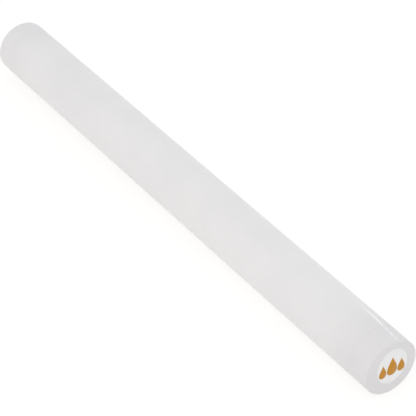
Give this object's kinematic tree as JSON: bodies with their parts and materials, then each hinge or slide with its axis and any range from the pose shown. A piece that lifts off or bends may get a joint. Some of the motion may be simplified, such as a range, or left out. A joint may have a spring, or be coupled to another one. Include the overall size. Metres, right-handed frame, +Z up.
{
  "type": "rainstick",
  "caption": "Closed white plastic rainstick: smooth round tube with flat end caps, a staggered inner core of small arms, and loose steel shot that trickles between them.",
  "frame": {"origin": "on the surface that the stick lies on, straight below the middle of the stick; the tube's axis is one tube radius above it", "axes": "+Z up with the stick lying on its side; +X along the stick towards the end with the badge; Y across it"},
  "size_m": [0.6003, 0.054, 0.054],
  "materials": {
    "tube_plastic": "satin, milky white",
    "cap_plastic": "satin, milky white",
    "label_vinyl": "gloss white vinyl",
    "gold_print": "gold ink",
    "bar_aluminium": "extruded, mill finish",
    "arm_plastic": "moulded, natural white",
    "shot_steel": "polished steel"
  },
  "bodies": {
    "stick": {"tube": "tube_plastic", "badge_end_cap": "cap_plastic", "plain_end_cap": "cap_plastic", "badge_label": "label_vinyl", "badge_emblem": "gold_print", "core_bar": "bar_aluminium", "arm_stack_01": "arm_plastic", "arm_stack_02": "arm_plastic", "arm_stack_03": "arm_plastic", "arm_stack_04": "arm_plastic", "arm_stack_05": "arm_plastic", "arm_stack_06": "arm_plastic", "arm_stack_07": "arm_plastic", "arm_stack_08": "arm_plastic", "arm_stack_09": "arm_plastic", "arm_stack_10": "arm_plastic", "arm_stack_11": "arm_plastic", "arm_stack_12": "arm_plastic"},
    "shot_far_left_lane": {"shot_far_left": "shot_steel"},
    "shot_left_lane": {"shot_left": "shot_steel"},
    "shot_middle_lane": {"shot_middle": "shot_steel"},
    "shot_right_lane": {"shot_right": "shot_steel"},
    "shot_far_right_lane": {"shot_far_right": "shot_steel"}
  },
  "joints": [
    {"name": "shot_far_left_fall", "type": "slide", "parent": "stick", "child": "shot_far_left_lane", "axis": [1, 0, 0], "range_m": [-0.533, 0]},
    {"name": "shot_left_fall", "type": "slide", "parent": "stick", "child": "shot_left_lane", "axis": [1, 0, 0], "range_m": [-0.484, 0]},
    {"name": "shot_middle_fall", "type": "slide", "parent": "stick", "child": "shot_middle_lane", "axis": [1, 0, 0], "range_m": [-0.474, 0]},
    {"name": "shot_right_fall", "type": "slide", "parent": "stick", "child": "shot_right_lane", "axis": [1, 0, 0], "range_m": [-0.484, 0]},
    {"name": "shot_far_right_fall", "type": "slide", "parent": "stick", "child": "shot_far_right_lane", "axis": [1, 0, 0], "range_m": [-0.533, 0]}
  ]
}
